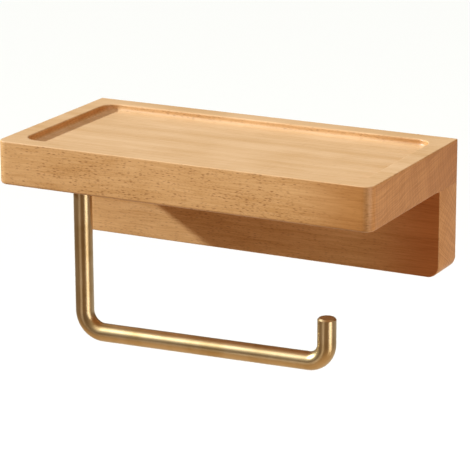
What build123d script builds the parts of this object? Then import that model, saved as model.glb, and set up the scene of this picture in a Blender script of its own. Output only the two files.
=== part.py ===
"""Toilet paper holder: a beech shelf tray on a beech back plate, with a bent brass rod under it.

Frame, in millimetres: X to the right when facing the wall, Y into the wall, Z up. The origin lies on
the wall plane, midway between the entry holes of the two keyhole hangers.
"""

import os

from build123d import *

# Shelf tray
width = 180.0  # tray and back plate, left to right
tray_depth = 92.7  # wall to front edge
tray_thickness = 19.6
tray_top = 36.0  # height of the tray's top above the keyholes
tray_front_corner = 4.5  # upright corners at the front
tray_under_edge = 1.2  # round-over below the front and the ends
wall_corner = 0.8  # corners of the wood next to the wall
arris = 0.5  # every other outer edge of the wood, just softened

# Recess milled into the tray's top
rim_width = 8.5
recess_depth = 3.3
recess_corner = 7.0
recess_floor_fillet = 2.0
recess_lip = 0.8  # rounding of the edge between the rim and the recess

# Back plate
plate_thickness = 19.4
plate_height = 39.4
plate_corner = 5.5  # the two lower corners, seen from the front

# Dowels between tray and back plate
dowel_radius = 4.0
dowel_length = 20.0
dowel_chamfer = 1.0
dowel_spacing = 76.0
dowel_glue_space = 0.5  # left at each end of a dowel

# Brass rod
rod_radius = 4.2
rod_overall = 130.0  # outside of the leg to outside of the upturned end
rod_leg_x = -68.3
rod_arm_below_top = 94.9  # tray's top down to the arm's centreline, at the leg
rod_arm_rise = 2.7  # the arm climbs this much towards its free end
rod_end_below_top = 71.5  # tray's top down to the face of the upturned end
rod_leg_bend = 9.7
rod_end_bend = 8.8
rod_end_chamfer = 0.7
rod_shoulder_gap = 0.3  # between the rod's shoulder and the wood

# M5 thread that holds the rod, with the thread's turns left plain
spigot_radius = 2.45
spigot_length = 9.2
spigot_chamfer = 0.5
insert_bore = 2.5
insert_radius = 3.9
insert_length = 10.0
insert_chamfer = 0.4
insert_end_space = 0.6

# Keyhole hangers let into the back plate
hanger_spacing = 120.0
hanger_width = 14.0
hanger_height = 36.0
hanger_thickness = 2.0
hanger_middle = -2.5  # height of a hanger's middle
keyhole_radius = 4.25
keyhole_slot_width = 4.4
keyhole_rise = 5.0  # from the entry hole up to where the wall screw ends up
head_pocket_width = 9.6
head_pocket_depth = 6.0  # behind the hanger

# Countersunk wood screws that hold the hangers
screw_offset = 14.7  # above and below a hanger's middle
screw_head_radius = 2.6
screw_hole_radius = 1.45
screw_shank_radius = 1.25
screw_length = 12.0
screw_point = 2.0
screw_head_angle = 90.0
drive_length = 2.8
drive_width = 0.8
drive_depth = 0.7

# Worked out from the sizes above
tray_underside = tray_top - tray_thickness
plate_bottom = tray_underside - plate_height
overhang = tray_depth - plate_thickness
rod_y = -plate_thickness - overhang / 2
rod_end_x = rod_leg_x + rod_overall - 2 * rod_radius
shoulder_z = tray_underside - rod_shoulder_gap
spigot_top = tray_underside + spigot_length
head_depth = screw_head_radius - screw_shank_radius  # of a 90 degree head
dowel_places = {"left": -dowel_spacing, "middle": 0.0, "right": dowel_spacing}
hanger_places = {"left": -hanger_spacing / 2, "right": hanger_spacing / 2}
screw_places = {"upper": hanger_middle + screw_offset, "lower": hanger_middle - screw_offset}


def write(piece, name):
    """Label a finished piece and write it to a STEP file of the same name."""
    piece.part.label = name
    export_step(piece.part, f"parts/{name}.step")


def bore_dowel_holes(start, direction):
    """Bore the row of dowel holes from the height start, up (1) or down (-1)."""
    with BuildSketch(Plane.XY.offset(start)) as holes:
        with Locations(*[(x, -plate_thickness / 2) for x in dowel_places.values()]):
            Circle(dowel_radius)
    depth = dowel_length / 2 + dowel_glue_space
    extrude(holes.sketch, amount=direction * depth, mode=Mode.SUBTRACT)


os.makedirs("parts", exist_ok=True)

# Shelf tray: one board, with a shallow recess on top and its holes below
with BuildPart() as shelf_tray:
    # The overhang in front of the back plate is rounded over along its lower edges
    with BuildSketch(Plane.XY.offset(tray_underside)):
        with Locations((0, rod_y)):
            Rectangle(width, overhang)
    extrude(amount=tray_thickness)
    fillet(shelf_tray.edges().filter_by(Axis.Z).group_by(Axis.Y)[0], tray_front_corner)
    fillet(shelf_tray.faces().sort_by(Axis.Z)[0].edges().sort_by(Axis.Y)[:-1], tray_under_edge)

    # Over the back plate the board keeps its square lower edge
    with BuildSketch(Plane.XY.offset(tray_underside)):
        with Locations((0, -plate_thickness / 2)):
            Rectangle(width, plate_thickness)
    extrude(amount=tray_thickness)
    fillet(shelf_tray.edges().filter_by(Axis.Z).group_by(Axis.Y)[-1], wall_corner)
    fillet(shelf_tray.faces().sort_by(Axis.Z)[-1].edges(), arris)

    # Recess
    with BuildSketch(Plane.XY.offset(tray_top)):
        with Locations((0, -tray_depth / 2)):
            RectangleRounded(width - 2 * rim_width, tray_depth - 2 * rim_width, recess_corner)
    extrude(amount=-recess_depth, mode=Mode.SUBTRACT)
    recess_floor = shelf_tray.faces().filter_by(Plane.XY).group_by(Axis.Z)[-2]
    fillet(recess_floor.edges(), recess_floor_fillet)
    rim = shelf_tray.faces().filter_by(Plane.XY).group_by(Axis.Z)[-1].face()
    fillet(rim.inner_wires().edges(), recess_lip)

    # Blind hole for the threaded insert, and the dowel holes
    with BuildSketch(Plane.XY.offset(tray_underside)):
        with Locations((rod_leg_x, rod_y)):
            Circle(insert_radius)
    extrude(amount=insert_length + insert_end_space, mode=Mode.SUBTRACT)
    bore_dowel_holes(tray_underside, 1)
write(shelf_tray, "shelf_tray")

# Back plate: an upright board under the tray, flush with it at the ends and at the wall
with BuildPart() as back_plate:
    with BuildSketch(Plane.XZ):
        with Locations((0, (tray_underside + plate_bottom) / 2)):
            Rectangle(width, plate_height)
    extrude(amount=plate_thickness)
    fillet(back_plate.edges().filter_by(Axis.Y).group_by(Axis.Z)[0], plate_corner)
    fillet(back_plate.faces().sort_by(Axis.Y)[-1].edges().sort_by(Axis.Z)[:-1], wall_corner)
    fillet(back_plate.faces().sort_by(Axis.Y)[0].edges().sort_by(Axis.Z)[:-1], arris)
    bore_dowel_holes(tray_underside, -1)

    # Each hanger has a seat, a pocket for the head of the wall screw and two pilot holes
    for x in hanger_places.values():
        with BuildSketch(Plane.XZ):
            with Locations((x, hanger_middle)):
                SlotOverall(hanger_height, hanger_width, rotation=90)
        extrude(amount=hanger_thickness, mode=Mode.SUBTRACT)
        with BuildSketch(Plane.XZ):
            with Locations((x, keyhole_rise / 2)):
                SlotCenterToCenter(keyhole_rise, head_pocket_width, rotation=90)
        extrude(amount=hanger_thickness + head_pocket_depth, mode=Mode.SUBTRACT)
        with BuildSketch(Plane.XZ):
            with Locations(*[(x, z) for z in screw_places.values()]):
                Circle(screw_shank_radius)
        extrude(amount=screw_length, mode=Mode.SUBTRACT)
write(back_plate, "back_plate")

# Dowels, glued half into the tray and half into the back plate
for place, x in dowel_places.items():
    with BuildPart() as dowel:
        with BuildSketch(Plane.XY.offset(tray_underside - dowel_length / 2)):
            with Locations((x, -plate_thickness / 2)):
                Circle(dowel_radius)
        extrude(amount=dowel_length)
        chamfer(dowel.edges().filter_by(GeomType.CIRCLE), dowel_chamfer)
    write(dowel, f"dowel_{place}")

# Rod: down from the tray, along to the right and up at its free end, with a threaded spigot on top
with BuildPart() as paper_rod:
    with BuildLine(Plane.XZ.offset(-rod_y)):
        arm_z = tray_top - rod_arm_below_top
        FilletPolyline(
            (rod_leg_x, shoulder_z),
            (rod_leg_x, arm_z),
            (rod_end_x, arm_z + rod_arm_rise),
            (rod_end_x, tray_top - rod_end_below_top),
            radius=[rod_leg_bend, rod_end_bend],
        )
    with BuildSketch(Plane.XY.offset(shoulder_z)):
        with Locations((rod_leg_x, rod_y)):
            Circle(rod_radius)
    sweep()
    free_end = paper_rod.edges().filter_by(GeomType.CIRCLE).sort_by(Axis.X)[-1]
    chamfer(free_end, rod_end_chamfer)
    with BuildSketch(Plane.XY.offset(shoulder_z)):
        with Locations((rod_leg_x, rod_y)):
            Circle(spigot_radius)
    extrude(amount=spigot_top - shoulder_z)
    chamfer(paper_rod.edges().filter_by(GeomType.CIRCLE).sort_by(Axis.Z)[-1], spigot_chamfer)
write(paper_rod, "paper_rod")

# Threaded insert, pressed into the tray from below and flush with its underside
with BuildPart() as rod_insert:
    with BuildSketch(Plane.XY.offset(tray_underside)):
        with Locations((rod_leg_x, rod_y)):
            Circle(insert_radius)
            Circle(insert_bore, mode=Mode.SUBTRACT)
    extrude(amount=insert_length)
    mouths = rod_insert.edges().filter_by(GeomType.CIRCLE)
    chamfer(mouths.group_by(Axis.Z)[-1].sort_by(SortBy.RADIUS)[-1], insert_chamfer)
write(rod_insert, "rod_insert")

# Keyhole hangers, flush with the back of the plate, each with two countersunk screws
for side, x in hanger_places.items():
    with BuildPart() as hanger:
        with BuildSketch(Plane.XZ):
            with Locations((x, hanger_middle)):
                SlotOverall(hanger_height, hanger_width, rotation=90)
            with Locations((x, 0)):
                Circle(keyhole_radius, mode=Mode.SUBTRACT)
            with Locations((x, keyhole_rise / 2)):
                SlotCenterToCenter(keyhole_rise, keyhole_slot_width, rotation=90, mode=Mode.SUBTRACT)
        extrude(amount=hanger_thickness)
        for z in screw_places.values():
            with Locations(Plane(origin=(x, 0, z), x_dir=(1, 0, 0), z_dir=(0, 1, 0))):
                CounterSinkHole(
                    screw_hole_radius, screw_head_radius, hanger_thickness, screw_head_angle
                )
    write(hanger, f"hanger_{side}")

    for height, z in screw_places.items():
        with BuildPart() as screw:
            with BuildSketch(Plane.XY.offset(z)):
                with BuildLine():
                    Polyline(
                        (x, 0),
                        (x + screw_head_radius, 0),
                        (x + screw_shank_radius, -head_depth),
                        (x + screw_shank_radius, screw_point - screw_length),
                        (x, -screw_length),
                        close=True,
                    )
                make_face()
            revolve(axis=Axis((x, 0, z), (0, 1, 0)))
            with BuildSketch(Plane.XZ):
                with Locations((x, z)):
                    Rectangle(drive_length, drive_width)
                    Rectangle(drive_width, drive_length)
            extrude(amount=drive_depth, mode=Mode.SUBTRACT)
        write(screw, f"hanger_screw_{side}_{height}")
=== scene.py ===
"""Toilet paper holder: a beech shelf and back plate with a bent satin brass rod, dressed for rendering.

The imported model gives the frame: X to the right when facing the wall, Y into the wall, Z up, in metres,
with the origin on the wall between the two keyholes. The wood and the rod are rebuilt here as smooth
surfaces inside their CAD boxes. The hidden hardware keeps its CAD shape and gets its real finish.
"""
import logging
import math
from dataclasses import dataclass, field
from enum import Enum

import bmesh
import bpy
import numpy as np
from mathutils import Matrix, Vector
from mathutils.geometry import tessellate_polygon


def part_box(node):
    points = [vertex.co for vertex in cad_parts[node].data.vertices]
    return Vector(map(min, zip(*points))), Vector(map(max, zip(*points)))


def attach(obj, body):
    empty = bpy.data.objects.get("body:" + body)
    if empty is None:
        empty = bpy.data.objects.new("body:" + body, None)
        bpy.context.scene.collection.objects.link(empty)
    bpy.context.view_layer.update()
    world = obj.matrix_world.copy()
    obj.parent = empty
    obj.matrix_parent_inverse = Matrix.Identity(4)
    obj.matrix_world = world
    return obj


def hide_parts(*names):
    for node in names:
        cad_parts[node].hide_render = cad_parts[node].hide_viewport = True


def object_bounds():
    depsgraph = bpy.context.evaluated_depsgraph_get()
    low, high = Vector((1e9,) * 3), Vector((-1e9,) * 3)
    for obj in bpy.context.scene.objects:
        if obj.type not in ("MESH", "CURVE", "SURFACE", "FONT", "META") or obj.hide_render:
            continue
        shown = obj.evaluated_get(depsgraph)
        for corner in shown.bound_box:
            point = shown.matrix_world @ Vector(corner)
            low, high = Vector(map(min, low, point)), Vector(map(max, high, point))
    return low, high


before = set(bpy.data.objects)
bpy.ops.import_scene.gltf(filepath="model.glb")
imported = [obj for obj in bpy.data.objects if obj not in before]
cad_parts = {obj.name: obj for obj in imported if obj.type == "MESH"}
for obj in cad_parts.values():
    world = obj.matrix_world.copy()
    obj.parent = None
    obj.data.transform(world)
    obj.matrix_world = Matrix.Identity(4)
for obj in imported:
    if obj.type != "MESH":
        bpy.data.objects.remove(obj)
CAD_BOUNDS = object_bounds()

log = logging.getLogger("holder")
MM = 0.001  # one millimetre in metres


class Slot(Enum):
    """The record's material slots for the wood and the brass; nothing in this script uses them."""

    BEECH = "oiled_beech"
    BRASS = "satin_brass"


class Body(Enum):
    """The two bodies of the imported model."""

    SHELF = "shelf"
    ROD = "rod"


# ---------------------------------------------------------------------------------------------
# Surfaces
# ---------------------------------------------------------------------------------------------


@dataclass(frozen=True)
class Outline:
    """A flat closed or open line with its outward normals, in metres.

    Args:
        points: positions, one row of two numbers each.
        normals: unit outward normals at those positions.
    """

    points: np.ndarray
    normals: np.ndarray

    def inset(self, distance: float | np.ndarray) -> np.ndarray:
        """Move every point inwards along its normal.

        Args:
            distance: how far, one number or one per point. Negative moves outwards.

        Returns:
            The moved points.
        """
        amount = np.broadcast_to(distance, len(self.points))[:, None]
        return self.points - amount * self.normals


def corner_arc(centre: tuple[float, float], radius: float, start: float, steps: int) -> Outline:
    """A quarter circle: centre plus radius times (cos, sin) of the angle, which runs 90 degrees.

    Args:
        centre: the arc's centre.
        radius: the arc's radius.
        start: the angle at which it starts, in quarter turns.
        steps: how many spans it has.

    Returns:
        The arc with its outward normals.
    """
    angle = (start + np.linspace(0.0, 1.0, steps + 1)) * math.pi / 2
    normals = np.column_stack([np.cos(angle), np.sin(angle)])
    return Outline(np.asarray(centre) + radius * normals, normals)


def joined(arcs: list[Outline], side_steps: int, closed: bool) -> Outline:
    """Join arcs by straight stretches, each divided evenly by linear blending of its two ends.

    Args:
        arcs: the corners in order.
        side_steps: spans along each straight stretch.
        closed: whether the last arc is joined to the first.

    Returns:
        The whole line.
    """
    blend = np.linspace(0.0, 1.0, side_steps + 1)[1:-1, None]
    points, normals = [], []
    for this, after in zip(arcs, arcs[1:] + arcs[:1]):
        points.append(this.points)
        normals.append(this.normals)
        if closed or after is not arcs[0]:
            points.append(this.points[-1] + blend * (after.points[0] - this.points[-1]))
            normals.append(np.repeat(this.normals[-1:], len(blend), axis=0))
    return Outline(np.concatenate(points), np.concatenate(normals))


def rounded_rectangle(
    low: tuple[float, float],
    high: tuple[float, float],
    radii: tuple[float, float, float, float],
    corner_steps: int = 10,
    side_steps: int = 60,
) -> Outline:
    """A rectangle with a quarter circle of its own radius at each corner.

    Args:
        low: lowest corner.
        high: highest corner.
        radii: radii of the corners at (+, +), (-, +), (-, -) and (+, -).
        corner_steps: spans round a corner.
        side_steps: spans along a side.

    Returns:
        The closed outline, counter-clockwise.
    """
    arcs = []
    for quarter, (radius, sign) in enumerate(zip(radii, ((1, 1), (-1, 1), (-1, -1), (1, -1)))):
        corner = np.where(np.asarray(sign) > 0, high, low)
        arcs.append(corner_arc(tuple(corner - radius * np.asarray(sign)), radius, quarter, corner_steps))
    return joined(arcs, side_steps, closed=True)


def circle(centre: tuple[float, float], radius: float, steps: int = 40) -> Outline:
    """A circle: centre plus radius times (cos, sin) of evenly spaced angles.

    Args:
        centre: its centre.
        radius: its radius.
        steps: how many points it has.

    Returns:
        The closed outline, counter-clockwise.
    """
    angle = np.linspace(0.0, 2 * math.pi, steps, endpoint=False)
    normals = np.column_stack([np.cos(angle), np.sin(angle)])
    return Outline(np.asarray(centre) + radius * normals, normals)


def stadium(centre: tuple[float, float], width: float, height: float, steps: int = 24) -> Outline:
    """An upright slot: a half circle above and one below, joined by two straight sides.

    Args:
        centre: its centre.
        width: across the slot.
        height: from end to end.
        steps: spans round each half circle.

    Returns:
        The closed outline, counter-clockwise.
    """
    radius = width / 2
    angle = np.linspace(0.0, math.pi, steps + 1)
    normals = np.column_stack([np.cos(angle), np.sin(angle)])
    top = Outline(np.asarray(centre) + radius * normals + (0.0, height / 2 - radius), normals)
    bottom = Outline(np.asarray(centre) - radius * normals - (0.0, height / 2 - radius), -normals)
    points = np.concatenate([top.points, bottom.points])
    return Outline(points, np.concatenate([top.normals, bottom.normals]))


class Skin:
    """Gathers rings of points, the walls between them and the flat faces that close them."""

    def __init__(self) -> None:
        """Start with no points and no faces."""
        self.points: list[np.ndarray] = []
        self.count = 0
        self.walls: list[np.ndarray] = []
        self.flats: list[np.ndarray] = []

    def ring(self, points: np.ndarray) -> np.ndarray:
        """Add a ring of points.

        Args:
            points: positions, one row of three numbers each.

        Returns:
            The numbers of the new points.
        """
        self.points.append(points)
        self.count += len(points)
        return np.arange(self.count - len(points), self.count)

    def wall(self, one: np.ndarray, other: np.ndarray, closed: bool = True) -> None:
        """Fill the band between two rings of equal length with four-sided faces.

        Args:
            one: numbers of the first ring's points.
            other: numbers of the second ring's points.
            closed: whether the band goes all the way round.
        """
        quads = np.column_stack([one, np.roll(one, -1), np.roll(other, -1), other])
        self.walls.append(quads if closed else quads[:-1])

    def sleeve(self, rings: list[np.ndarray], closed: bool = True) -> list[np.ndarray]:
        """Add rings one after another with a wall between each two.

        Args:
            rings: positions of each ring's points.
            closed: whether the walls go all the way round.

        Returns:
            The numbers of each ring's points.
        """
        numbers = [self.ring(points) for points in rings]
        for one, other in zip(numbers, numbers[1:]):
            self.wall(one, other, closed)
        return numbers

    def flat(self, edge: np.ndarray, *holes: np.ndarray) -> None:
        """Close a flat face with triangles between its edge and its holes.

        Args:
            edge: numbers of the points round the face.
            holes: numbers of the points round each hole.
        """
        every = np.concatenate(self.points)
        loops = [edge, *holes]
        corners = np.concatenate(loops)
        triangles = tessellate_polygon([every[loop].tolist() for loop in loops])
        self.flats.append(corners[np.asarray(triangles, int)])

    def build(self, name: str, wall_map: np.ndarray | None = None) -> bpy.types.Object:
        """Make the closed mesh, with its walls smooth, its flats flat and every face outwards.

        Args:
            name: the object's name.
            wall_map: UV pairs for the corners of the walls, or None for a piece without a map.

        Returns:
            The new object, at the origin.
        """
        mesh = bpy.data.meshes.new(name)
        walls = np.concatenate(self.walls)
        flats = np.concatenate(self.flats)
        mesh.from_pydata(np.concatenate(self.points), [], walls.tolist() + flats.tolist())
        smooth = np.arange(len(walls) + len(flats)) < len(walls)
        mesh.polygons.foreach_set("use_smooth", smooth)
        if wall_map is not None:
            layer = mesh.uv_layers.new(name="LengthMap")
            flat_map = np.zeros((flats.size, 2))
            layer.data.foreach_set("uv", np.concatenate([wall_map, flat_map]).ravel())
        mesh.set_sharp_from_angle(angle=math.radians(40.0))
        shell = bmesh.new()
        shell.from_mesh(mesh)
        bmesh.ops.recalc_face_normals(shell, faces=shell.faces)
        shell.to_mesh(mesh)
        open_edges = sum(not edge.is_manifold for edge in shell.edges)
        shell.free()
        piece = bpy.data.objects.new(name, mesh)
        bpy.context.scene.collection.objects.link(piece)
        log.info("%s: %d faces, %d open edges", name, len(mesh.polygons), open_edges)
        return piece


def quarter_round(radius: float | np.ndarray, steps: int) -> list[tuple[np.ndarray, np.ndarray]]:
    """The stations of a rounded edge, from the face that it ends to the one that it leads into.

    At the angle a, from 0 to 90 degrees, the surface lies radius * (1 - sin a) in from the outline
    and radius * (1 - cos a) below the flat face.

    Args:
        radius: the edge's radius, one number or one per point of the outline.
        steps: spans round the edge.

    Returns:
        Pairs of (inset of the outline, drop from the flat face), starting on the flat face.
    """
    angles = np.linspace(0.0, math.pi / 2, steps + 1)
    return [(radius * (1 - math.sin(a)), radius * (1 - math.cos(a))) for a in angles]


# ---------------------------------------------------------------------------------------------
# Finishes
# ---------------------------------------------------------------------------------------------


def linear(hex_colour: str) -> tuple[float, float, float, float]:
    """Turn an sRGB hex colour into linear light with full alpha.

    Args:
        hex_colour: six hex digits.

    Returns:
        Red, green, blue and alpha, each from 0 to 1.
    """
    parts = np.array([int(hex_colour[i : i + 2], 16) for i in (0, 2, 4)]) / 255
    light = np.where(parts <= 0.04045, parts / 12.92, ((parts + 0.055) / 1.055) ** 2.4)
    return (*light.tolist(), 1.0)


def add_node(
    tree: bpy.types.NodeTree, kind: str, inputs: dict | None = None, **settings: object
) -> bpy.types.Node:
    """Add a node with its settings, values and links.

    Args:
        tree: the tree that gets the node.
        kind: the node's type name, without the leading ShaderNode.
        inputs: socket name or number to a value, to the output socket that feeds it, or to a node
            whose first output does.
        settings: attributes of the node.

    Returns:
        The new node.
    """
    node = tree.nodes.new("ShaderNode" + kind)
    for name, value in settings.items():
        setattr(node, name, value)
    for key, value in (inputs or {}).items():
        source = value.outputs[0] if isinstance(value, bpy.types.Node) else value
        if isinstance(source, bpy.types.NodeSocket):
            tree.links.new(source, node.inputs[key])
        else:
            node.inputs[key].default_value = source
    return node


def set_ramp(node: bpy.types.Node, stops: list[tuple[float, tuple]]) -> None:
    """Give a colour ramp its stops.

    Args:
        node: the ramp.
        stops: pairs of position and colour, in order.
    """
    elements = node.color_ramp.elements
    while len(elements) < len(stops):
        elements.new(1.0)
    for element, (position, colour) in zip(elements, stops):
        element.position = position
        element.color = colour


def grey(value: float) -> tuple[float, float, float, float]:
    """A neutral colour of that linear value."""
    return (value, value, value, 1.0)


def per_cell(*size: float) -> tuple[float, ...]:
    """The mapping scale that gives a pattern cells of that size, in the units that it is fed."""
    return tuple(1 / length for length in size)


def blank_material(name: str) -> tuple[bpy.types.Material, bpy.types.NodeTree, bpy.types.Node]:
    """Create a material whose tree holds nothing but a coordinates node.

    Args:
        name: the material's name.

    Returns:
        The material, its node tree and the coordinates node.
    """
    material = bpy.data.materials.new(name)
    material.use_nodes = True
    tree = material.node_tree
    tree.nodes.clear()
    return material, tree, add_node(tree, "TexCoord")


def close_metal(
    tree: bpy.types.NodeTree,
    colour: bpy.types.NodeSocket | tuple[float, float, float, float],
    roughness: bpy.types.Node,
    relief: bpy.types.Node,
) -> None:
    """End a metal's tree with its shader and its output.

    Args:
        tree: the material's tree.
        colour: the metal's colour.
        roughness: blur of its reflections.
        relief: its bumps.
    """
    surface = {"Base Color": colour, "Metallic": 1.0, "Roughness": roughness, "Normal": relief}
    shader = add_node(tree, "BsdfPrincipled", surface)
    add_node(tree, "OutputMaterial", {"Surface": shader})


@dataclass(frozen=True)
class Beech:
    """Sanded beech under a thin oil: pale bands of growth, dark ray flecks and fine fibres.

    The wood is a solid. Its growth rings are cylinders about a pith line along X, which lies outside
    the board. Rays are thin ribbons that point at the pith, so they show as short dashes on the front,
    as fine lines on the ends and as faint flecks on top.

    Args:
        name: the material's name.
        pith: where the pith line crosses the plane X = 0, as Y and Z in millimetres.
        middle: the middle of the board, likewise.
        seed: shifts every pattern along X, so that no two boards match.
        light: colour of the early wood.
        dark: colour of the late wood.
        ray: colour of the ray flecks.
        side_tone_and_shade: what upright faces are multiplied by: partly the edge grain's own deeper colour,
        partly painted shade that keeps the sides darker than the top.
        end_tone: what the open end grain is multiplied by as well.
        ring_mm: spacing of the growth rings.
        wave_mm: how far the growth rings wander.
        fleck_mm: spacing of the ray flecks along the grain, more than their length.
        fleck_row_mm: spacing of the flecks across the grain.
        fleck_strength: from 0, no flecks, to 1.
        ray_mm: how far a ray runs towards the pith.
        drift_mm: size of the cells in which the grain wanders. This and the three sizes below are
            taken along the grain, towards the pith and round the arc.
        fibre_mm: size of the fibres' streaks, drawn coarser than real ones so that they show.
        patch_mm: size of the patches where flecks crowd and the wood is deeper in colour.
        end_ray_mm: size of the rays' lines on the ends.
        deep_shade_tone: the darker tone laid on the front towards the right end and on the ends towards
            the wall. Next to the wall it is painted shade; on the back plate's front it is the tray's
            painted cast shadow; on the tray's front it makes the wood darker towards the right end.
        right_shading: how much of that tone the front has near the right end, from 0 to 1.
        wall_shading: how much of that painted shade the ends have next to the wall.
        right_fade_mm: the X at which the first starts, and at which it is full.
        wall_fade_mm: the distance from the wall at which the second starts.
    """

    name: str
    pith: tuple[float, float]
    middle: tuple[float, float]
    seed: float
    light: str = "E3BD93"
    dark: str = "CBA06E"
    ray: str = "8C582C"
    side_tone_and_shade: str = "F5E6CC"
    end_tone: str = "FFECCF"
    ring_mm: float = 2.6
    wave_mm: float = 2.5
    fleck_mm: float = 2.7
    fleck_row_mm: float = 0.5
    fleck_strength: float = 0.9
    ray_mm: float = 400.0
    drift_mm: tuple[float, float, float] = (90.0, 22.0, 22.0)
    fibre_mm: tuple[float, float, float] = (14.0, 0.8, 0.5)
    patch_mm: tuple[float, float, float] = (40.0, 30.0, 7.0)
    end_ray_mm: tuple[float, float, float] = (6.0, 18.0, 0.5)
    deep_shade_tone: str = "DAC29E"
    right_shading: float = 1.0
    wall_shading: float = 0.55
    right_fade_mm: tuple[float, float] = (45.0, 88.0)
    wall_fade_mm: float = 80.0

    def grain_space(
        self, tree: bpy.types.NodeTree, coords: bpy.types.Node
    ) -> tuple[bpy.types.Node, bpy.types.Node]:
        """Add the nodes that turn a place on the board into a place in the trunk.

        Args:
            tree: the material's tree.
            coords: its coordinates node.

        Returns:
            The place along the grain, towards the pith and round the arc, and the distance from the
            pith, all in millimetres.
        """
        # Millimetres from the pith, with the second axis pointing from the pith to the front
        where = add_node(
            tree,
            "Mapping",
            {
                "Vector": coords.outputs["Object"],
                "Scale": (1 / MM, -1 / MM, 1 / MM),
                "Location": (self.seed, self.pith[0], -self.pith[1]),
            },
        )

        # The grain wanders slowly along the board
        drift = add_node(tree, "Mapping", {"Vector": where, "Scale": per_cell(*self.drift_mm)})
        wander = add_node(
            tree, "TexNoise", {"Vector": drift, "Scale": 1.0, "Detail": 2.0, "Roughness": 0.45}
        )
        centred = add_node(
            tree, "VectorMath", {0: wander.outputs["Color"], 1: (0.5, 0.5, 0.5)}, operation="SUBTRACT"
        )
        bent = add_node(
            tree,
            "VectorMath",
            {0: centred, 1: (0.0, 2 * self.wave_mm, 2 * self.wave_mm), 2: where},
            operation="MULTIPLY_ADD",
        )

        # Polar coordinates about the pith: radius, and arc length at the middle of the board
        parts = add_node(tree, "SeparateXYZ", {0: bent})
        across = add_node(tree, "CombineXYZ", {1: parts.outputs[1], 2: parts.outputs[2]})
        radius = add_node(tree, "VectorMath", {0: across}, operation="LENGTH")
        turn = add_node(tree, "Math", {0: parts.outputs[2], 1: parts.outputs[1]}, operation="ARCTAN2")
        depth = math.dist(self.pith, self.middle)
        arc = add_node(tree, "Math", {0: turn, 1: depth}, operation="MULTIPLY")
        grain = add_node(tree, "CombineXYZ", {0: parts, 1: radius.outputs["Value"], 2: arc})
        return grain, radius

    def growth(
        self, tree: bpy.types.NodeTree, radius: bpy.types.Node
    ) -> tuple[bpy.types.Node, bpy.types.Node]:
        """Add the nodes of the growth rings.

        Args:
            tree: the material's tree.
            radius: the distance from the pith.

        Returns:
            The wide soft bands and the thin late-wood lines, each from 0 to 1.
        """
        distance = radius.outputs["Value"]
        bands = add_node(
            tree,
            "TexNoise",
            {"W": distance, "Scale": 1 / (3 * self.ring_mm), "Detail": 3.0, "Roughness": 0.6},
            noise_dimensions="1D",
        )
        # Late wood lies at the end of each ring
        ring_count = add_node(tree, "Math", {0: distance, 1: 1 / self.ring_mm}, operation="MULTIPLY")
        ring_phase = add_node(tree, "Math", {0: ring_count}, operation="FRACT")
        late = add_node(tree, "ValToRGB", {0: ring_phase})
        set_ramp(late, [(0.0, grey(0.0)), (0.55, grey(0.12)), (0.9, grey(0.8)), (1.0, grey(0.0))])
        return bands, late

    def ray_flecks(
        self, tree: bpy.types.NodeTree, grain: bpy.types.Node, patches: bpy.types.Node
    ) -> bpy.types.Node:
        """Add the nodes of the dark dashes that the rays leave on the front.

        Args:
            tree: the material's tree.
            grain: the place in the trunk.
            patches: from 0 to 1, how crowded the flecks are there.

        Returns:
            How dark the fleck is there, from 0 to 1.
        """
        # Cells of a Voronoi pattern, in two sizes, crowded in some places
        flecks = None
        for size, strength in ((1.0, 1.0), (0.6, 0.6)):
            ray_space = add_node(
                tree,
                "Mapping",
                {
                    "Vector": grain,
                    "Scale": per_cell(size * self.fleck_mm, self.ray_mm, size * self.fleck_row_mm),
                    "Location": (7.3 * size, 0.0, 3.1 * size),
                },
            )
            cells = add_node(tree, "TexVoronoi", {"Vector": ray_space, "Scale": 1.0})
            fleck = add_node(
                tree,
                "MapRange",
                {"Value": cells.outputs["Distance"], "From Min": 0.42, "From Max": 0.12},
                interpolation_type="SMOOTHSTEP",
            )
            chance = add_node(tree, "SeparateColor", {0: cells.outputs["Color"]})
            crowd = add_node(tree, "Math", {0: patches, 1: 2.2, 2: chance}, operation="MULTIPLY_ADD")
            chosen = add_node(
                tree,
                "MapRange",
                {
                    "Value": crowd,
                    "From Min": 1.15,
                    "From Max": 1.9,
                    "To Max": strength * self.fleck_strength,
                },
            )
            layer = add_node(tree, "Math", {0: fleck, 1: chosen}, operation="MULTIPLY")
            if flecks is None:
                flecks = layer
            else:
                flecks = add_node(tree, "Math", {0: flecks, 1: layer}, operation="MAXIMUM")
        return flecks

    def material(self) -> bpy.types.Material:
        """Build the node material.

        Returns:
            The material.
        """
        material, tree, coords = blank_material(self.name)
        grain, radius = self.grain_space(tree, coords)
        bands, late = self.growth(tree, radius)

        # Fibres, and the patches where flecks crowd and the wood is deeper in colour
        fibre_space = add_node(tree, "Mapping", {"Vector": grain, "Scale": per_cell(*self.fibre_mm)})
        fibres = add_node(
            tree, "TexNoise", {"Vector": fibre_space, "Scale": 1.0, "Detail": 4.0, "Roughness": 0.62}
        )
        patch_space = add_node(tree, "Mapping", {"Vector": grain, "Scale": per_cell(*self.patch_mm)})
        patches = add_node(
            tree, "TexNoise", {"Vector": patch_space, "Scale": 1.0, "Detail": 2.0, "Roughness": 0.5}
        )

        # What the faces show: upright faces cut the rays across, the ends show them along their depth
        facing = add_node(tree, "SeparateXYZ", {0: coords.outputs["Normal"]})
        level = add_node(tree, "Math", {0: facing.outputs[2]}, operation="ABSOLUTE")
        side_share = add_node(tree, "MapRange", {"Value": level, "From Min": 0.95, "From Max": 0.3})
        end_on = add_node(tree, "Math", {0: facing}, operation="ABSOLUTE")
        end_share = add_node(tree, "MapRange", {"Value": end_on, "From Min": 0.5, "From Max": 0.98})

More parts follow.
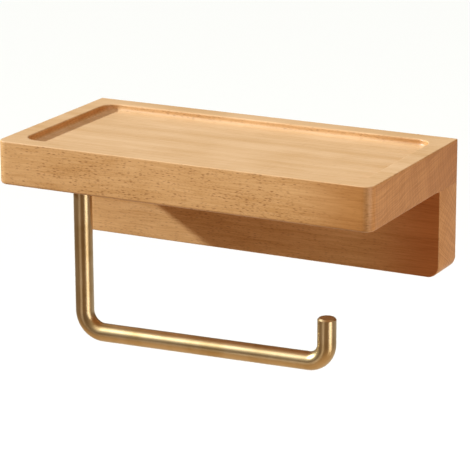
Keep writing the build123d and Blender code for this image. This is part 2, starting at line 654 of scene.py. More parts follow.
        # Rays on the ends: long lines towards the pith
        line_space = add_node(tree, "Mapping", {"Vector": grain, "Scale": per_cell(*self.end_ray_mm)})
        end_lines = add_node(
            tree, "TexNoise", {"Vector": line_space, "Scale": 1.0, "Detail": 3.0, "Roughness": 0.6}
        )
        figure = add_node(tree, "Mix", {0: end_share, 2: fibres, 3: end_lines})

        flecks = self.ray_flecks(tree, grain, patches)
        seen = add_node(tree, "MapRange", {"Value": side_share, "To Min": 0.08, "To Max": 1.0})
        kept = add_node(tree, "Math", {0: end_share, 1: -0.75, 2: 1.0}, operation="MULTIPLY_ADD")
        flecks = add_node(tree, "Math", {0: flecks, 1: seen}, operation="MULTIPLY")
        flecks = add_node(tree, "Math", {0: flecks, 1: kept}, operation="MULTIPLY")

        # Tone from 0, early wood, to 1, late wood: growth bands, late-wood lines and figure added up
        tone = add_node(tree, "Math", {0: bands, 1: 0.9, 2: -0.05}, operation="MULTIPLY_ADD")
        late_share = add_node(tree, "MapRange", {"Value": end_share, "To Min": 0.25, "To Max": 0.6})
        tone = add_node(tree, "Math", {0: late, 1: late_share, 2: tone}, operation="MULTIPLY_ADD")
        tone = add_node(tree, "Math", {0: patches, 1: 1.2, 2: tone}, operation="MULTIPLY_ADD")
        tone = add_node(tree, "Math", {0: tone, 1: 0.57}, operation="SUBTRACT")
        contrast = add_node(tree, "MapRange", {"Value": side_share, "To Min": 1.0, "To Max": 2.4})
        contrast = add_node(tree, "Math", {0: end_share, 1: 1.2, 2: contrast}, operation="MULTIPLY_ADD")
        centred_figure = add_node(tree, "Math", {0: figure, 1: 0.5}, operation="SUBTRACT")
        tone = {0: centred_figure, 1: contrast, 2: tone}
        tone = add_node(tree, "Math", tone, operation="MULTIPLY_ADD", use_clamp=True)

        # A colour mix has its own sockets: 0 is the share, 6 and 7 the colours, and 2 what it gives
        wood = add_node(
            tree, "Mix", {0: tone, 6: linear(self.light), 7: linear(self.dark)}, data_type="RGBA"
        )
        # Upright faces take a darker, warmer tone: partly the edge grain's colour, partly painted shade that
        # keeps them darker than the top
        toned_and_shaded = add_node(
            tree,
            "Mix",
            {0: side_share, 6: wood.outputs[2], 7: linear(self.side_tone_and_shade)},
            data_type="RGBA",
            blend_type="MULTIPLY",
        )
        board = add_node(
            tree,
            "Mix",
            {0: end_share, 6: toned_and_shaded.outputs[2], 7: linear(self.end_tone)},
            data_type="RGBA",
            blend_type="MULTIPLY",
        )

        # Painted shade: the ends darken towards the wall, and the front darkens towards the right end, which
        # on the back plate is the tray's painted cast shadow
        place = add_node(tree, "SeparateXYZ", {0: coords.outputs["Object"]})
        start, full = (MM * x for x in self.right_fade_mm)
        to_right = add_node(
            tree,
            "MapRange",
            {"Value": place, "From Min": start, "From Max": full, "To Max": self.right_shading},
            interpolation_type="SMOOTHSTEP",
        )
        to_right = add_node(tree, "Math", {0: to_right, 1: side_share}, operation="MULTIPLY")
        flat_on = add_node(tree, "MapRange", {"Value": end_on, "From Min": 0.6, "From Max": 0.1})
        to_right = add_node(tree, "Math", {0: to_right, 1: flat_on}, operation="MULTIPLY")
        to_wall = {"From Min": -self.wall_fade_mm * MM, "From Max": 0.0, "To Max": self.wall_shading}
        to_wall = add_node(tree, "MapRange", {"Value": place.outputs[1], **to_wall})
        deeper = add_node(tree, "Mix", {0: end_share, 2: to_right, 3: to_wall})
        deep = add_node(
            tree,
            "Mix",
            {0: deeper, 6: board.outputs[2], 7: linear(self.deep_shade_tone)},
            data_type="RGBA",
            blend_type="MULTIPLY",
        )
        # Flecks thin out where the front darkens towards the right end
        sparse = add_node(tree, "Math", {0: to_right, 1: -0.7, 2: 1.0}, operation="MULTIPLY_ADD")
        flecks = add_node(tree, "Math", {0: flecks, 1: sparse}, operation="MULTIPLY")
        flecked = add_node(
            tree, "Mix", {0: flecks, 6: deep.outputs[2], 7: linear(self.ray)}, data_type="RGBA"
        )

        # Relief: fibres and rays stand a few hundredths of a millimetre below the sanded surface
        relief = add_node(tree, "Math", {0: flecks, 1: -0.8, 2: fibres}, operation="MULTIPLY_ADD")
        bump = add_node(tree, "Bump", {"Strength": 0.35, "Distance": 0.06 * MM, "Height": relief})
        gloss = add_node(
            tree,
            "MapRange",
            {"Value": fibres, "From Min": 0.3, "From Max": 0.7, "To Min": 0.40, "To Max": 0.52},
        )
        shader = add_node(
            tree,
            "BsdfPrincipled",
            {
                "Base Color": flecked.outputs[2],
                "Roughness": gloss,
                "Normal": bump,
                "IOR": 1.46,
                "Coat Weight": 0.06,
                "Coat Roughness": 0.25,
            },
        )
        add_node(tree, "OutputMaterial", {"Surface": shader})
        return material


@dataclass(frozen=True)
class SatinBrass:
    """Drawn brass bar, rubbed along its length and lacquered: soft long reflections, faint lines.

    Args:
        name: the material's name.
        colour: the metal's colour seen straight on.
        stain: colour of the slightly darker, warmer patches.
        roughness: blur of the reflections.
        line_mm: spacing of the rubbed lines.
        line_length_mm: their length.
        patch_mm: size of the stained patches.
    """

    name: str
    colour: str = "D4BC90"
    stain: str = "BA9C66"
    roughness: float = 0.33
    line_mm: float = 0.25
    line_length_mm: float = 25.0
    patch_mm: float = 14.0

    def material(self) -> bpy.types.Material:
        """Build the node material.

        Returns:
            The material.
        """
        material, tree, coords = blank_material(self.name)
        # The rod's own map is in millimetres, with U round the bar and V along it
        lines_size = per_cell(self.line_mm, self.line_length_mm, self.line_mm)
        lines_space = add_node(tree, "Mapping", {"Vector": coords.outputs["UV"], "Scale": lines_size})
        lines = add_node(tree, "TexNoise", {"Vector": lines_space, "Scale": 1.0, "Detail": 2.0})
        clouds_size = per_cell(*[self.patch_mm * MM] * 3)
        cloud_space = add_node(tree, "Mapping", {"Vector": coords.outputs["Object"], "Scale": clouds_size})
        clouds = add_node(
            tree, "TexNoise", {"Vector": cloud_space, "Scale": 1.0, "Detail": 3.0, "Roughness": 0.55}
        )
        patch = add_node(
            tree, "MapRange", {"Value": clouds, "From Min": 0.42, "From Max": 0.68, "To Max": 0.7}
        )
        colour = add_node(
            tree, "Mix", {0: patch, 6: linear(self.colour), 7: linear(self.stain)}, data_type="RGBA"
        )
        blur = add_node(
            tree,
            "MapRange",
            {
                "Value": lines,
                "From Min": 0.3,
                "From Max": 0.7,
                "To Min": self.roughness - 0.03,
                "To Max": self.roughness + 0.05,
            },
        )
        bump = add_node(tree, "Bump", {"Strength": 0.12, "Distance": 0.01 * MM, "Height": lines})
        close_metal(tree, colour.outputs[2], blur, bump)
        return material


@dataclass(frozen=True)
class ZincPlate:
    """Bright zinc plating on pressed steel: a cool grey metal with a faint cloudy bloom.

    Args:
        name: the material's name.
        colour: the plating's colour.
        bloom: colour of its duller patches.
        roughness: blur of the reflections.
        patch_mm: size of those patches.
    """

    name: str
    colour: str = "C9CBCB"
    bloom: str = "A9ADB0"
    roughness: float = 0.3
    patch_mm: float = 3.0

    def material(self) -> bpy.types.Material:
        """Build the node material.

        Returns:
            The material.
        """
        material, tree, coords = blank_material(self.name)
        size = per_cell(*[self.patch_mm * MM] * 3)
        space = add_node(tree, "Mapping", {"Vector": coords.outputs["Object"], "Scale": size})
        clouds = add_node(
            tree, "TexNoise", {"Vector": space, "Scale": 1.0, "Detail": 5.0, "Roughness": 0.65}
        )
        colour = add_node(
            tree, "Mix", {0: clouds, 6: linear(self.colour), 7: linear(self.bloom)}, data_type="RGBA"
        )
        blur = add_node(
            tree,
            "MapRange",
            {"Value": clouds, "To Min": self.roughness - 0.08, "To Max": self.roughness + 0.12},
        )
        bump = add_node(tree, "Bump", {"Strength": 0.2, "Distance": 0.02 * MM, "Height": clouds})
        close_metal(tree, colour.outputs[2], blur, bump)
        return material


@dataclass(frozen=True)
class TurnedBrass:
    """Free-cutting brass as it comes off the lathe: bright, with fine rings about its upright axis.

    Args:
        name: the material's name.
        colour: the metal's colour.
        roughness: blur of the reflections.
        ring_mm: spacing of the tool's rings.
        wobble_mm: size of their unevenness across the axis.
    """

    name: str
    colour: str = "D9B36A"
    roughness: float = 0.24
    ring_mm: float = 0.3
    wobble_mm: float = 5.0

    def material(self) -> bpy.types.Material:
        """Build the node material.

        Returns:
            The material.
        """
        material, tree, coords = blank_material(self.name)
        size = per_cell(self.wobble_mm * MM, self.wobble_mm * MM, self.ring_mm * MM)
        space = add_node(tree, "Mapping", {"Vector": coords.outputs["Object"], "Scale": size})
        rings = add_node(tree, "TexNoise", {"Vector": space, "Scale": 1.0, "Detail": 1.0})
        blur = add_node(
            tree,
            "MapRange",
            {"Value": rings, "To Min": self.roughness - 0.06, "To Max": self.roughness + 0.08},
        )
        bump = add_node(tree, "Bump", {"Strength": 0.3, "Distance": 0.02 * MM, "Height": rings})
        close_metal(tree, linear(self.colour), blur, bump)
        return material


# ---------------------------------------------------------------------------------------------
# Sub-assemblies
# ---------------------------------------------------------------------------------------------


def in_plan(flat: np.ndarray, height: float | np.ndarray) -> np.ndarray:
    """Lay points of a plan view, X and Y, at a height."""
    return np.column_stack([flat, np.broadcast_to(height, len(flat))])


def upright(flat: np.ndarray, depth: float | np.ndarray) -> np.ndarray:
    """Stand points of a front view, X and Z, at a distance Y."""
    return np.column_stack([flat[:, 0], np.broadcast_to(depth, len(flat)), flat[:, 1]])


def dress(piece: bpy.types.Object, body: Body, finish: bpy.types.Material) -> None:
    """Give a finished piece its body and its material.

    Args:
        piece: the piece.
        body: the body that it moves with.
        finish: its material.
    """
    piece.data.materials.append(finish)
    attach(piece, body.value)


@dataclass
class Dowelling:
    """The dowel holes that the tray and the back plate share.

    Args:
        radius: a hole's radius.
        spaces: glue space left beyond each end of a dowel.
    """

    radius: float = 4.0 * MM
    spaces: float = 0.5 * MM

    def bore(self, skin: Skin, face_height: float, direction: int) -> list[np.ndarray]:
        """Line the holes that start at a level face.

        Args:
            skin: the surface that gets the holes.
            face_height: height of the face.
            direction: 1 to bore upwards, -1 downwards.

        Returns:
            The numbers of the points round each mouth.
        """
        mouths = []
        for place in ("left", "middle", "right"):
            low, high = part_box(f"dowel_{place}")
            hole = circle(((low.x + high.x) / 2, (low.y + high.y) / 2), self.radius)
            end = (high.z if direction > 0 else low.z) + direction * self.spaces
            mouth, bottom = skin.sleeve([in_plan(hole.points, z) for z in (face_height, end)])
            skin.flat(bottom)
            mouths.append(mouth)
        return mouths


@dataclass
class ShelfTray:
    """The beech board on top, with a shallow recess whose floor meets its walls in a cove.

    Args:
        finish: its wood.
        rim: width of the rim round the recess.
        recess: depth of the recess.
        recess_corner: radius of the recess's corners in plan.
        cove: radius where the recess's walls meet its floor.
        front_corner: radius of the two upright corners in front.
        wall_corner: radius of the two upright corners next to the wall.
        lip: radius of the edge between the rim and the recess.
        under_edge: radius of the round-over below the overhang.
        under_edge_end: the length over which that round-over runs out in front of the back plate.
        arris: radius of the softened edges.
        hairline: what is left of the lower edge where it meets the back plate.
        insert_space: room left above the threaded insert.
        dowelling: the dowel holes that it shares with the back plate.
    """

    finish: Beech
    rim: float = 8.5 * MM
    recess: float = 3.3 * MM
    recess_corner: float = 7.0 * MM
    cove: float = 2.0 * MM
    front_corner: float = 4.5 * MM
    wall_corner: float = 0.8 * MM
    lip: float = 0.8 * MM
    under_edge: float = 1.2 * MM
    under_edge_end: float = 3.0 * MM
    arris: float = 0.5 * MM
    hairline: float = 0.12 * MM
    insert_space: float = 0.6 * MM
    dowelling: Dowelling = field(default_factory=Dowelling)

    def lower_radius(self, points: np.ndarray) -> np.ndarray:
        """Radius of the lower edge: full under the overhang, and next to nothing over the back plate.

        It falls as 3 t^2 - 2 t^3 of the distance t, from 0 to 1, along the last few millimetres.

        Args:
            points: the outline's points in plan.

        Returns:
            The radius at each point.
        """
        plate_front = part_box("back_plate")[0].y
        share = np.clip((plate_front - points[:, 1]) / self.under_edge_end, 0.0, 1.0)
        return self.hairline + (self.under_edge - self.hairline) * share * share * (3 - 2 * share)

    def build(self) -> bpy.types.Object:
        """Build the board and dress it.

        Returns:
            The finished piece.
        """
        low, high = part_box("shelf_tray")
        top, underside = high.z, low.z
        front, wall = self.front_corner, self.wall_corner
        side = rounded_rectangle((low.x, low.y), (high.x, high.y), (wall, wall, front, front), side_steps=100)
        corner = (self.recess_corner,) * 4
        mouth = rounded_rectangle(
            (low.x + self.rim, low.y + self.rim), (high.x - self.rim, high.y - self.rim), corner, 14
        )
        skin = Skin()

        # Recess, from its floor up the cove and the wall to the rim
        floor = top - self.recess
        coved = [in_plan(mouth.inset(inset), floor + rise) for inset, rise in quarter_round(self.cove, 12)]
        lip = [in_plan(mouth.inset(-out), top - drop) for out, drop in reversed(quarter_round(self.lip, 6))]
        recess = skin.sleeve(coved + lip)
        skin.flat(recess[0])

        # Outside, from the rim down the side and round the lower edge
        under = self.lower_radius(side.points)
        edge = [in_plan(side.inset(inset), top - drop) for inset, drop in quarter_round(self.arris, 5)]
        turned = [
            in_plan(side.inset(inset), underside + rise) for inset, rise in reversed(quarter_round(under, 10))
        ]
        outside = skin.sleeve(edge + turned)
        skin.flat(outside[0], recess[-1])

        # Blind hole for the threaded insert, and the dowel holes
        insert_low, insert_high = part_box("rod_insert")
        centre = ((insert_low.x + insert_high.x) / 2, (insert_low.y + insert_high.y) / 2)
        hole = circle(centre, (insert_high.x - insert_low.x) / 2)
        insert_mouth, insert_end = skin.sleeve(
            [in_plan(hole.points, z) for z in (underside, insert_high.z + self.insert_space)]
        )
        skin.flat(insert_end)
        skin.flat(outside[-1], insert_mouth, *self.dowelling.bore(skin, underside, 1))

        tray = skin.build("ShelfTray")
        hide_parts("shelf_tray")
        dress(tray, Body.SHELF, self.finish.material())
        return tray


@dataclass
class BackPlate:
    """The beech board against the wall, with its hangers let into the back.

    Args:
        finish: its wood.
        lower_corner: radius of the two lower corners, seen from the front.
        wall_edge: radius of the edges next to the wall.
        arris: radius of the softened front edges.
        seat_play: room round a hanger in its seat.
        pocket_width: width of the pocket for a wall screw's head.
        pocket_depth: its depth behind the hanger.
        rise: how far the screw's head travels up in the pocket.
        pilot_radius: radius of the holes for the hangers' screws.
        pilot_depth: their depth from the back.
        dowelling: the dowel holes that it shares with the tray.
    """

    finish: Beech
    lower_corner: float = 5.5 * MM
    wall_edge: float = 0.8 * MM
    arris: float = 0.5 * MM
    seat_play: float = 0.12 * MM
    pocket_width: float = 9.6 * MM
    pocket_depth: float = 6.0 * MM
    rise: float = 5.0 * MM
    pilot_radius: float = 1.25 * MM
    pilot_depth: float = 12.0 * MM
    dowelling: Dowelling = field(default_factory=Dowelling)

    def edge_line(self, low: Vector, high: Vector) -> Outline:
        """The board's edge seen from the front: down the left end, along below and up the right end.

        Args:
            low: lowest corner of the board.
            high: highest corner of the board.

        Returns:
            The open line in X and Z, which starts and ends at the top.
        """
        radius = self.lower_corner
        left_end = Outline(np.array([[low.x, high.z]]), np.array([[-1.0, 0.0]]))
        right_end = Outline(np.array([[high.x, high.z]]), np.array([[1.0, 0.0]]))
        left = corner_arc((low.x + radius, low.z + radius), radius, 2, 16)
        right = corner_arc((high.x - radius, low.z + radius), radius, 3, 16)
        return joined([left_end, left, right, right_end], 60, closed=False)

    def cut_seat(self, skin: Skin, hanger: str) -> np.ndarray:
        """Cut one hanger's seat, with the pocket and the pilot holes in its floor.

        Args:
            skin: the board's surface.
            hanger: the hanger's node.

        Returns:
            The numbers of the points round the seat's mouth.
        """
        low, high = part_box(hanger)
        middle = ((low.x + high.x) / 2, (low.z + high.z) / 2)
        width, height = high.x - low.x + 2 * self.seat_play, high.z - low.z + 2 * self.seat_play
        seat = stadium(middle, width, height)
        mouth, seat_floor = skin.sleeve([upright(seat.points, y) for y in (high.y, low.y)])
        # The origin lies at the height of the keyholes, where the pocket starts
        pocket = stadium((middle[0], self.rise / 2), self.pocket_width, self.pocket_width + self.rise)
        pocket_mouth, pocket_end = skin.sleeve(
            [upright(pocket.points, y) for y in (low.y, low.y - self.pocket_depth)]
        )
        skin.flat(pocket_end)
        pilots = []
        for place in ("upper", "lower"):
            screw_low, screw_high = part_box(hanger.replace("hanger", "hanger_screw") + "_" + place)
            pilot = circle((middle[0], (screw_low.z + screw_high.z) / 2), self.pilot_radius, 20)
            pilot_mouth, pilot_end = skin.sleeve(
                [upright(pilot.points, y) for y in (low.y, high.y - self.pilot_depth)]
            )
            skin.flat(pilot_end)
            pilots.append(pilot_mouth)
        skin.flat(seat_floor, pocket_mouth, *pilots)
        return mouth

    def build(self) -> bpy.types.Object:
        """Build the board and dress it.

        Returns:
            The finished piece.
        """
        low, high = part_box("back_plate")
        line = self.edge_line(low, high)
        skin = Skin()
        face = [upright(line.inset(inset), low.y + drop) for inset, drop in quarter_round(self.arris, 5)]
        behind = [
            upright(line.inset(inset), high.y - drop)
            for inset, drop in reversed(quarter_round(self.wall_edge, 8))
        ]
        rings = skin.sleeve(face + behind, closed=False)
        skin.flat(rings[0])
        skin.flat(rings[-1], *(self.cut_seat(skin, f"hanger_{side}") for side in ("left", "right")))
        top = np.array([ring[0] for ring in rings] + [ring[-1] for ring in reversed(rings)])
        skin.flat(top, *self.dowelling.bore(skin, high.z, -1))

        plate = skin.build("BackPlate")
        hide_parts("back_plate")
        dress(plate, Body.SHELF, self.finish.material())
        return plate


@dataclass
class PaperRod:
    """The brass rod: a threaded spigot and a leg down, a long arm, and a short upturned end.

    Args:
        finish: its metal.
        rise: how much the arm climbs from the leg to the far end.
        end_height: from the arm's centreline at the leg up to the free end's face.
        leg_bend: radius of the centreline where the leg turns into the arm.
        end_bend: radius of the centreline where the arm turns up.
        end_chamfer: the turned chamfer on the free end.
        shoulder_gap: between the rod's shoulder and the tray.
        spigot_radius: radius over the thread's crests.
        thread_depth: from crest to root.
        pitch: the thread's pitch.
        entry: the length over which the thread starts.
        ripple_middle: from the shoulder to the middle of the stretch that the first bend rippled.
        ripple_spread: half of that stretch's length.
        ripple_depth: how deep the ripple is.
        ripple_wave: a wave's length over two pi.
        ripple_drift: the length, likewise, over which the waves grow wider and narrower.
        step: spacing of the sections on the straights.
        bend_steps: spans round each bend.
        around: points round a section.
    """

    finish: SatinBrass
    rise: float = 2.7 * MM
    end_height: float = 23.4 * MM
    leg_bend: float = 9.7 * MM
    end_bend: float = 8.8 * MM
    end_chamfer: float = 0.7 * MM
    shoulder_gap: float = 0.3 * MM
    spigot_radius: float = 2.45 * MM
    thread_depth: float = 0.4 * MM
    pitch: float = 0.8 * MM
    entry: float = 0.6 * MM
    ripple_middle: float = 75 * MM
    ripple_spread: float = 26 * MM
    ripple_depth: float = 0.012 * MM
    ripple_wave: float = 1.9 * MM
    ripple_drift: float = 6 * MM
    step: float = 0.8 * MM
    bend_steps: int = 28
    around: int = 64

    @property
    def radius(self) -> float:
        """The bar's radius, half of the rod's depth."""
        low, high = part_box("paper_rod")
        return (high.y - low.y) / 2

    def corners(self) -> np.ndarray:
        """The corners of the centreline in X and Z, before they are rounded.

        The lowest point of the rod is where the leg's bend runs level. With the arm's slope s, the
        corner lies bend * (tan s + 1 / cos s - 1) below the centreline's lowest point.

        Returns:
            Spigot's top, leg and arm, arm and end, and the free end.
        """
        low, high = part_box("paper_rod")
        leg_x, end_x = low.x + self.radius, high.x - self.radius
        slope = math.atan2(self.rise, end_x - leg_x)
        arm = low.z + self.radius - self.leg_bend * (math.tan(slope) + 1 / math.cos(slope) - 1)
        leg = [(leg_x, high.z), (leg_x, arm)]
        return np.array(leg + [(end_x, arm + self.rise), (end_x, arm + self.end_height)])

    def centreline(self) -> tuple[np.ndarray, np.ndarray, np.ndarray]:
        """The centreline: straight stretches joined by tangent arcs.

        A corner that turns by the angle t is cut back by radius * tan(t / 2) on each side, and its arc
        is the centre plus the radius times the unit normal turned evenly from one stretch to the next.

        Returns:
            Positions in X and Z, unit directions, and distances along the line.
        """
        corners = self.corners()
        runs = np.diff(corners, axis=0)
        lengths = np.linalg.norm(runs, axis=1)
        ways = runs / lengths[:, None]
        headings = np.arctan2(ways[:, 1], ways[:, 0])
        bends = np.array([self.leg_bend, self.end_bend])
        turns = np.diff(headings)
        cuts = np.concatenate([[0.0], bends * np.tan(turns / 2), [0.0]])
        places, directions = [], []
        for index, way in enumerate(ways):
            start = corners[index] + cuts[index] * way
            span = lengths[index] - cuts[index] - cuts[index + 1]
            along = np.linspace(0.0, span, max(2, round(span / self.step) + 1))[:, None]
            places.append(start + along * way)
            directions.append(np.repeat(way[None], len(along), axis=0))
            if index < len(bends):
                share = np.linspace(0.0, 1.0, self.bend_steps + 1)[1:-1]
                angle = headings[index] + turns[index] * share
                left = np.array([-way[1], way[0]])
                centre = places[-1][-1] + bends[index] * left
                places.append(centre + bends[index] * np.column_stack([np.sin(angle), -np.cos(angle)]))
                directions.append(np.column_stack([np.cos(angle), np.sin(angle)]))
        line = np.concatenate(places)
        travel = np.concatenate([[0.0], np.cumsum(np.linalg.norm(np.diff(line, axis=0), axis=1))])
        return line, np.concatenate(directions), travel

    def thickness(self, travel: np.ndarray, angle: np.ndarray, length: float) -> np.ndarray:
        """Radius of the bar over distance along it and angle round it.

        On the spigot the radius is the crest's less the thread's depth times a triangle wave of
        (distance / pitch - angle / turn). On the bar it is constant, apart from a ripple where the bar
        was bent and a straight chamfer at the free end. The ripple is a sine wave of uneven length,
        deeper on one side of the bar, that fades as exp(-t^2) of the distance t from its middle.

        Args:
            travel: distances along the centreline, as a column.
            angle: angles round the bar, as a row.
            length: length of the whole centreline.

        Returns:
            The radii, one row per distance.
        """
        spigot_end = self.spigot_length()
        phase = np.abs(2 * ((travel / self.pitch - angle / (2 * math.pi)) % 1.0) - 1)
        entry = np.clip(travel / self.entry, 0.0, 1.0)
        thread = self.spigot_radius - self.thread_depth * np.maximum(phase, 1 - entry)
        chamfer = np.clip(travel - (length - self.end_chamfer), 0.0, None)
        past_bend = (travel - spigot_end - self.ripple_middle) / self.ripple_spread
        wave = np.sin(travel / self.ripple_wave + 2.0 * np.sin(travel / self.ripple_drift))
        ripple = np.exp(-past_bend * past_bend) * wave
        dent = self.ripple_depth * ripple * (0.6 + 0.4 * np.cos(angle - 1.0))
        bar = self.radius - chamfer - dent
        return np.where(travel < spigot_end, thread, bar)

    def spigot_length(self) -> float:
        """Distance from the spigot's top down to the rod's shoulder."""
        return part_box("paper_rod")[1].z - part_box("shelf_tray")[0].z + self.shoulder_gap

    def build(self) -> bpy.types.Object:
        """Build the rod and dress it.

        Returns:
            The finished piece.
        """
        line, directions, travel = self.centreline()
        length = travel[-1]
        shoulder = self.spigot_length()
        # More stations where the profile changes: through the thread, at the shoulder and at the end
        extra = np.concatenate(
            [
                np.arange(0.0, shoulder, self.pitch / 10),
                shoulder + np.array([-1e-6, 1e-6, 0.15 * MM]),
                length - self.end_chamfer * np.array([1.25, 1.0, 0.97, 0.5]),
            ]
        )
        stations = np.unique(np.concatenate([travel[travel > shoulder + 0.3 * MM], extra]))
        place = np.column_stack([np.interp(stations, travel, line[:, k]) for k in (0, 1)])
        way = np.column_stack([np.interp(stations, travel, directions[:, k]) for k in (0, 1)])
        way /= np.linalg.norm(way, axis=1)[:, None]
        angle = np.linspace(0.0, 2 * math.pi, self.around, endpoint=False)[None, :]
        radius = self.thickness(stations[:, None], angle, length)
        # A section lies across the direction (dx, dz): one axis is (-dz, dx), the other is Y
        rod_low, rod_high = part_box("paper_rod")
        y = (rod_low.y + rod_high.y) / 2
        across = radius * np.cos(angle)
        x = place[:, :1] - way[:, 1:] * across
        z = place[:, 1:] + way[:, :1] * across
        grid = np.stack([x, y + radius * np.sin(angle), z], axis=-1)

        skin = Skin()
        rings = skin.sleeve(list(grid))
        skin.flat(rings[0])
        skin.flat(rings[-1])
        rod = skin.build("PaperRod", self.length_map(stations))
        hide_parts("paper_rod")
        dress(rod, Body.ROD, self.finish.material())
        return rod

    def length_map(self, stations: np.ndarray) -> np.ndarray:
        """The UV map of the walls in millimetres: U round the bar and V along it.

        Args:
            stations: distance of each ring along the centreline.

        Returns:
            One pair for each corner of each wall face.
        """
        turn = np.arange(self.around) * (2 * math.pi * self.radius / self.around)
        width = turn[1]
        u = turn[None, :, None] + np.array([0.0, width, width, 0.0])
        v = np.stack([stations[:-1], stations[:-1], stations[1:], stations[1:]], axis=-1)[:, None, :]
        u, v = np.broadcast_arrays(u, v)
        return np.stack([u, v], axis=-1).reshape(-1, 2) / MM


@dataclass
class HiddenHardware:
    """Dowels, threaded insert, keyhole hangers and their screws, which keep their CAD shape.

    Args:
        dowel: the dowels' wood.
        insert: the insert's metal.
        plate: the plating of the hangers and the screws.
    """

    dowel: Beech
    insert: TurnedBrass
    plate: ZincPlate

    def build(self) -> list[bpy.types.Object]:
        """Dress the CAD pieces.

        Returns:
            The dressed pieces.
        """
        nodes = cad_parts
        finishes = {
            "dowel": self.dowel.material(),
            "rod_insert": self.insert.material(),
            "hanger": self.plate.material(),
        }
        dressed = []
        for start, finish in finishes.items():
            for name in sorted(name for name in nodes if name.startswith(start)):
                piece = nodes[name]
                for material_slot in piece.material_slots:
                    material_slot.material = finish
                dressed.append(piece)
        return dressed


@dataclass(frozen=True)
class Softbox:
    """A rectangular softbox that faces the holder.

    Args:
        name: its name.
        azimuth: its direction in degrees.
        elevation: its height in degrees.
        away: its distance in metres.
        size: its width and height in metres.
        radiance: how bright its face is, where 1 is white.
        diffuse: whether it lights matt surfaces.
        glossy: whether it shows in shiny ones.
    """

    name: str
    azimuth: float
    elevation: float
    away: float
    size: tuple[float, float]
    radiance: float
    diffuse: bool = True
    glossy: bool = True


SOFTBOXES = (
    Softbox("RightSoftbox", 70.0, -2.0, 1.2, (0.6, 1.4), 2.6),
    Softbox("EndFill", 98.0, 4.0, 1.2, (0.8, 0.8), 0.9, glossy=False),
    Softbox("FrontCard", -18.0, -22.0, 1.2, (0.45, 0.35), 1.0, diffuse=False),
    Softbox("FrontSoftbox", -36.0, 50.0, 1.3, (1.0, 1.2), 0.8),
)


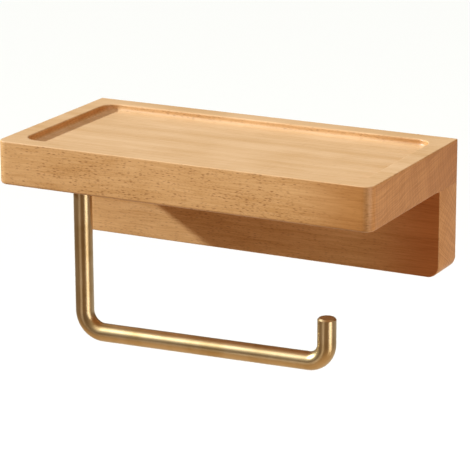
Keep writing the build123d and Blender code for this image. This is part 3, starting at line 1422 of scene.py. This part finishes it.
@dataclass
class Studio:
    """Camera, lights, floor and surroundings.

    Args:
        azimuth: the camera's direction in degrees, from the front towards the right.
        elevation: its height in degrees.
        roll: its tilt about its own axis in degrees.
        distance: from the camera to the point that it looks at.
        lens: focal length in millimetres.
        sensor: the sensor's width in millimetres.
        near: the nearest distance that the camera sees.
        aim: the point that it looks at, from the middle of the holder's box.
        floor_drop: from the bottom of the holder down to the floor.
        floor_half: half of the floor's width.
        key_strength: the sun's strength in watts per square metre.
        key_angle: how wide the sun looks, in degrees.
        key_from: the direction that the sun shines from.
        key_colour: its colour as hex.
    """

    azimuth: float = 27.183
    elevation: float = 16.181
    roll: float = 0.226
    distance: float = 1.1207
    lens: float = 193.49
    sensor: float = 36.0
    near: float = 0.05
    aim: tuple[float, float, float] = (2.06 * MM, 3.17 * MM, 5.33 * MM)
    floor_drop: float = 0.25
    floor_half: float = 4.0
    key_strength: float = 5.2
    key_angle: float = 3.0
    key_from: tuple[float, float, float] = (-1.0, -0.45, 0.60)
    key_colour: str = "E7F7FF"

    @staticmethod
    def towards(azimuth: float, elevation: float) -> Vector:
        """The unit vector that points from the holder to that azimuth and elevation, in degrees."""
        a, e = math.radians(azimuth), math.radians(elevation)
        return Vector((math.sin(a) * math.cos(e), -math.cos(a) * math.cos(e), math.sin(e)))

    def middle(self) -> Vector:
        """The middle of the holder's box."""
        return (CAD_BOUNDS[0] + CAD_BOUNDS[1]) / 2

    def place_camera(self) -> None:
        """Create the scene's camera."""
        camera = bpy.data.objects.new("Camera", bpy.data.cameras.new("Camera"))
        bpy.context.scene.collection.objects.link(camera)
        camera.data.lens = self.lens
        camera.data.sensor_width = self.sensor
        camera.data.clip_start = self.near
        back = self.towards(self.azimuth, self.elevation)
        turn = back.to_track_quat("Z", "Y").to_matrix().to_4x4()
        turn = turn @ Matrix.Rotation(math.radians(-self.roll), 4, "Z")
        where = self.middle() + Vector(self.aim) + self.distance * back
        camera.matrix_world = Matrix.Translation(where) @ turn
        bpy.context.scene.camera = camera

    def add_light(self, name: str, kind: str, energy: float, colour: str) -> bpy.types.Object:
        """Create a light.

        Args:
            name: its name.
            kind: its kind.
            energy: watts, or watts per square metre for a sun.
            colour: its colour as hex.

        Returns:
            The light.
        """
        light = bpy.data.objects.new(name, bpy.data.lights.new(name, kind))
        bpy.context.scene.collection.objects.link(light)
        light.data.energy = energy
        light.data.color = linear(colour)[:3]
        return light

    def place_softbox(self, box: Softbox) -> None:
        """Create a softbox, whose power is its radiance times pi times its area.

        Args:
            box: what it is like.
        """
        width, height = box.size
        light = self.add_light(box.name, "AREA", box.radiance * math.pi * width * height, "FFFFFF")
        light.data.shape = "RECTANGLE"
        light.data.size, light.data.size_y = box.size
        light.visible_camera = False
        light.visible_diffuse = box.diffuse
        light.visible_glossy = box.glossy
        back = self.towards(box.azimuth, box.elevation)
        light.location = self.middle() + box.away * back
        light.rotation_euler = back.to_track_quat("Z", "Y").to_euler()

    def lay_floor(self) -> None:
        """Create the pale floor."""
        height = CAD_BOUNDS[0].z - self.floor_drop
        half = self.floor_half
        mesh = bpy.data.meshes.new("Floor")
        signs = ((-1, -1), (1, -1), (1, 1), (-1, 1))
        mesh.from_pydata([(half * x, half * y, height) for x, y in signs], [], [(0, 1, 2, 3)])
        floor = bpy.data.objects.new("Floor", mesh)
        bpy.context.scene.collection.objects.link(floor)
        paint = bpy.data.materials.new("MattWhitePaint")
        paint.use_nodes = True
        shader = paint.node_tree.nodes["Principled BSDF"]
        shader.inputs["Base Color"].default_value = grey(0.9)
        shader.inputs["Roughness"].default_value = 0.9
        mesh.materials.append(paint)
        # The floor is only a backdrop: it throws no light up at the wood or the brass
        floor.visible_diffuse = False
        floor.visible_glossy = False

    def surround(self) -> None:
        """Create the surroundings: white to look at, and a warm dim room with a pale ceiling as light."""
        world = bpy.data.worlds.new("Surroundings")
        bpy.context.scene.world = world
        world.use_nodes = True
        tree = world.node_tree
        tree.nodes.clear()
        coords = add_node(tree, "TexCoord")
        parts = add_node(tree, "SeparateXYZ", {0: coords.outputs["Generated"]})
        height = add_node(tree, "MapRange", {"Value": parts.outputs[2], "From Min": -1.0})
        room = add_node(tree, "ValToRGB", {0: height})
        set_ramp(
            room,
            [
                (0.0, (0.76, 0.54, 0.35, 1.0)),
                (0.2, (0.64, 0.44, 0.27, 1.0)),
                (0.34, (0.14, 0.07, 0.03, 1.0)),
                (0.55, (0.15, 0.09, 0.05, 1.0)),
                (1.0, (0.62, 0.50, 0.38, 1.0)),
            ],
        )
        back = add_node(tree, "MapRange", {"Value": parts.outputs[1], "From Max": 0.9, "To Max": 0.5})
        low = add_node(tree, "MapRange", {"Value": parts.outputs[2], "From Min": 0.1, "From Max": -0.2})
        behind = add_node(tree, "Math", {0: back, 1: low}, operation="MULTIPLY")
        light = add_node(tree, "Mix", {0: behind, 6: room, 7: grey(1.0)}, data_type="RGBA")
        path = add_node(tree, "LightPath")
        seen = path.outputs["Is Camera Ray"]
        shown = add_node(tree, "Mix", {0: seen, 6: light.outputs[2], 7: grey(1.0)}, data_type="RGBA")
        background = add_node(tree, "Background", {"Color": shown.outputs[2], "Strength": 1.0})
        add_node(tree, "OutputWorld", {"Surface": background})

    def build(self) -> None:
        """Set up everything that isn't part of the holder."""
        self.place_camera()
        key = self.add_light("Key", "SUN", self.key_strength, self.key_colour)
        key.data.angle = math.radians(self.key_angle)
        key.rotation_euler = Vector(self.key_from).to_track_quat("Z", "Y").to_euler()
        for box in SOFTBOXES:
            self.place_softbox(box)
        self.lay_floor()
        self.surround()
        bpy.context.scene.view_settings.view_transform = "Standard"


def main() -> None:
    """Build the holder piece by piece, then the studio."""
    logging.basicConfig(level=logging.INFO, format="%(name)s: %(message)s")
    tray_beech = Beech("OiledBeechTray", pith=(72.0, 49.0), middle=(-46.0, 26.0), seed=0.0)
    plate_beech = Beech(
        "OiledBeechPlate",
        pith=(60.0, -60.0),
        middle=(-10.0, -3.0),
        seed=317.0,
        fleck_strength=0.55,
        # The plate's front darkens towards the right end: the tray's painted cast shadow
        deep_shade_tone="E0B48C",
        wall_shading=0.0,
    )
    dowel_beech = Beech("OiledBeechDowel", pith=(40.0, 0.0), middle=(-10.0, 17.0), seed=120.0)
    hardware = HiddenHardware(dowel_beech, TurnedBrass("TurnedBrass"), ZincPlate("BrightZincPlate"))
    for piece in (
        ShelfTray(tray_beech).build(),
        BackPlate(plate_beech).build(),
        PaperRod(SatinBrass("SatinBrassBar")).build(),
        *hardware.build(),
    ):
        log.info("%s is dressed in %s", piece.name, piece.material_slots[0].material.name)
    Studio().build()


if __name__ == "__main__":
    main()
